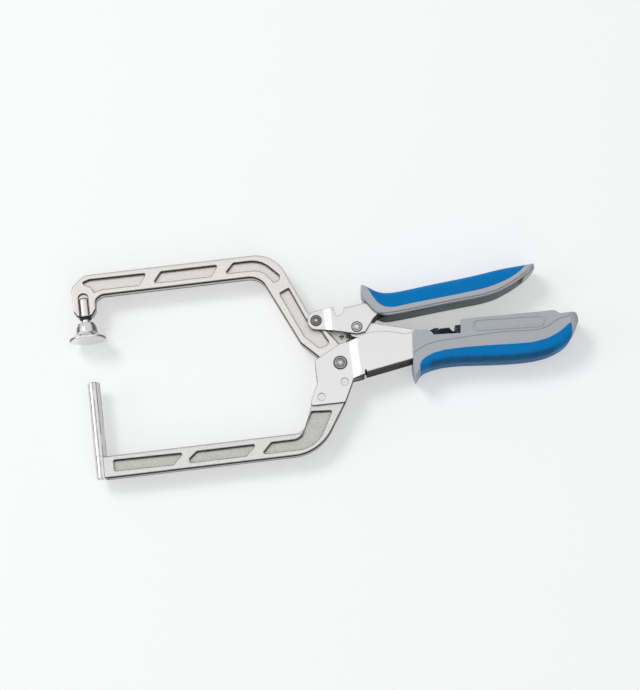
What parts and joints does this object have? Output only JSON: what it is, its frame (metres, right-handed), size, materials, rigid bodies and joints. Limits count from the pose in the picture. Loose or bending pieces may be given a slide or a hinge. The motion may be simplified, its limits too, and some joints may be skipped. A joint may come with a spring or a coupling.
{
  "type": "right-angle clamp",
  "caption": "Toggle-locking right-angle clamp with a peg jaw for a pocket hole, a swivel pad jaw on a pivoting arm, a folding lever and blue and grey grips.",
  "frame": {"origin": "on the peg's axis where the peg leaves its saddle, in the clamp's middle plane", "axes": "+X along the fixed arm towards the handles, +Y along the peg towards the swivel pad, +Z through the thickness, up as the clamp lies on its side"},
  "size_m": [0.369, 0.151, 0.027],
  "materials": {
    "channel_steel": "satin nickel plate",
    "cast_nickel": "cast, satin nickel plate",
    "pin_steel": "satin nickel plate",
    "rivet_steel": "polished domes",
    "polished_steel": "polished",
    "spring_steel": "drawn wire",
    "black_oxide": "black oxide",
    "black_ring": "matt",
    "grip_grey": "satin moulded",
    "grip_blue": "soft matt moulded"
  },
  "bodies": {
    "frame": {"body_shell": "channel_steel", "fixed_arm": "cast_nickel", "peg": "pin_steel", "arm_rivets": "rivet_steel", "main_rivet": "rivet_steel", "lower_grip": "grip_grey", "lower_grip_cover": "grip_blue", "slide_block": "black_oxide", "rack_plate": "black_oxide", "screw_bracket": "black_oxide", "screw_spring": "spring_steel"},
    "screw": {"thumb_screw": "black_oxide", "end_nut": "black_oxide"},
    "jaw": {"moving_arm": "cast_nickel", "return_spring": "spring_steel"},
    "stud": {"pad_stud": "polished_steel", "stud_ring": "black_ring"},
    "pad": {"swivel_pad": "polished_steel"},
    "lever": {"lever_channel": "channel_steel", "lever_rivet": "rivet_steel", "link_rivet": "rivet_steel", "lever_grip": "grip_grey", "lever_grip_cover": "grip_blue"},
    "link": {"toggle_link": "channel_steel", "link_pin": "rivet_steel"}
  },
  "joints": [
    {"name": "jaw_pivot", "type": "hinge", "parent": "frame", "child": "jaw", "pos_m": [0.1791, 0.0443, 0], "axis": [0, 0, 1], "range_deg": [-23.8, 0], "deforming": ["return_spring"]},
    {"name": "lever_pivot", "type": "hinge", "parent": "jaw", "child": "lever", "pos_m": [0.1654, 0.0773, 0], "axis": [0, 0, 1], "range_deg": [0, 60]},
    {"name": "link_pivot", "type": "hinge", "parent": "lever", "child": "link", "pos_m": [0.1941, 0.0686, 0], "axis": [0, 0, 1], "range_deg": [-64.9, 0]},
    {"name": "pad_spin", "type": "hinge", "parent": "jaw", "child": "stud", "pos_m": [-0.001, 0.0923, 0], "axis": [0, 1, 0], "continuous": true},
    {"name": "pad_tilt", "type": "hinge", "parent": "stud", "child": "pad", "pos_m": [-0.001, 0.0923, 0], "axis": [1, 0, 0], "range_deg": [-12, 12]},
    {"name": "screw_spin", "type": "hinge", "parent": "frame", "child": "screw", "pos_m": [0.2576, 0.0546, 0], "axis": [1, 0, 0], "continuous": true}
  ],
  "couplings": [
    {"joint": "jaw_pivot", "follows": "lever_pivot", "ratio": -0.395},
    {"joint": "link_pivot", "follows": "lever_pivot", "ratio": -1.079}
  ]
}
